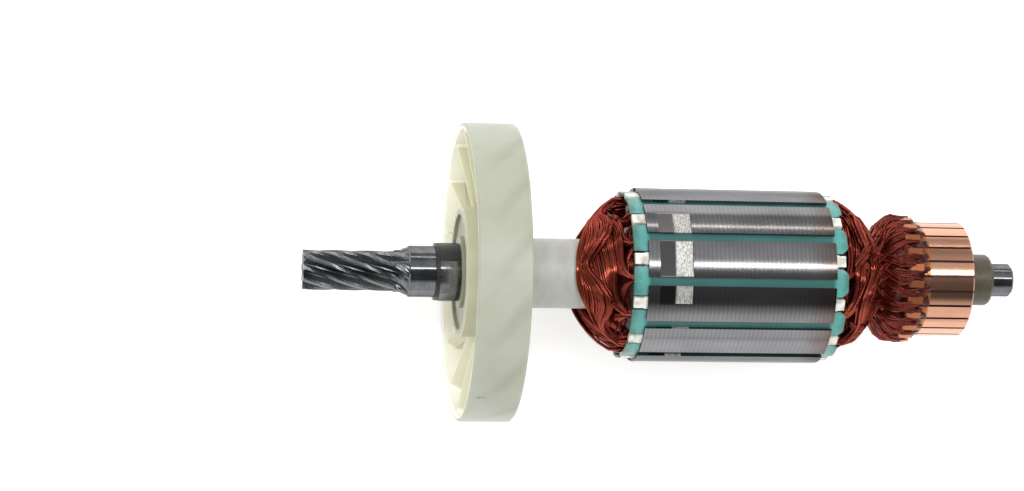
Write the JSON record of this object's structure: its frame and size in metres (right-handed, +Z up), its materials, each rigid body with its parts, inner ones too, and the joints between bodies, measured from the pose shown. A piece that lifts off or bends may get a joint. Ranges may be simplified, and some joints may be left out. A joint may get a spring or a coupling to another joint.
{
  "type": "motor armature",
  "caption": "Wound armature of a universal motor: slotted laminated core with enamelled windings, hooked commutator, cooling fan and helical pinion on one shaft.",
  "frame": {"origin": "on the shaft axis, at the shoulder where the drive-end bearing seats", "axes": "+X along the shaft from the pinion to the commutator, +Z up"},
  "size_m": [0.1708, 0.07, 0.07],
  "materials": {
    "ground_steel": "ground, satin",
    "black_plastic": "satin",
    "turned_steel": "turned, satin",
    "fan_nylon": "matt, slightly translucent",
    "white_plastic": "matt",
    "lamination_steel": "ground laminations, satin",
    "insulator_plastic": "matt",
    "slot_sheet": "satin sheet",
    "enamelled_copper": "varnished enamel",
    "moulding_resin": "satin moulding",
    "bar_copper": "turned, bright"
  },
  "bodies": {
    "root": {"shaft": "ground_steel", "spacer_bush": "black_plastic", "spacer_ring": "turned_steel", "fan": "fan_nylon", "shaft_sleeve": "white_plastic", "core": "lamination_steel", "end_insulator_drive": "insulator_plastic", "end_insulator_comm": "insulator_plastic", "slot_liners": "slot_sheet", "slot_wedge_01": "slot_sheet", "slot_wedge_02": "slot_sheet", "slot_wedge_03": "slot_sheet", "slot_wedge_04": "slot_sheet", "slot_wedge_05": "slot_sheet", "slot_wedge_06": "slot_sheet", "slot_wedge_07": "slot_sheet", "slot_wedge_08": "slot_sheet", "slot_wedge_09": "slot_sheet", "slot_wedge_10": "slot_sheet", "slot_wedge_11": "slot_sheet", "slot_wedge_12": "slot_sheet", "coil_01": "enamelled_copper", "coil_02": "enamelled_copper", "coil_03": "enamelled_copper", "coil_04": "enamelled_copper", "coil_05": "enamelled_copper", "coil_06": "enamelled_copper", "coil_07": "enamelled_copper", "coil_08": "enamelled_copper", "coil_09": "enamelled_copper", "coil_10": "enamelled_copper", "coil_11": "enamelled_copper", "coil_12": "enamelled_copper", "lead_wires": "enamelled_copper", "commutator_hub": "moulding_resin", "commutator_bar_01": "bar_copper", "commutator_bar_02": "bar_copper", "commutator_bar_03": "bar_copper", "commutator_bar_04": "bar_copper", "commutator_bar_05": "bar_copper", "commutator_bar_06": "bar_copper", "commutator_bar_07": "bar_copper", "commutator_bar_08": "bar_copper", "commutator_bar_09": "bar_copper", "commutator_bar_10": "bar_copper", "commutator_bar_11": "bar_copper", "commutator_bar_12": "bar_copper", "commutator_bar_13": "bar_copper", "commutator_bar_14": "bar_copper", "commutator_bar_15": "bar_copper", "commutator_bar_16": "bar_copper", "commutator_bar_17": "bar_copper", "commutator_bar_18": "bar_copper", "commutator_bar_19": "bar_copper", "commutator_bar_20": "bar_copper", "commutator_bar_21": "bar_copper", "commutator_bar_22": "bar_copper", "commutator_bar_23": "bar_copper", "commutator_bar_24": "bar_copper"}
  },
  "joints": []
}
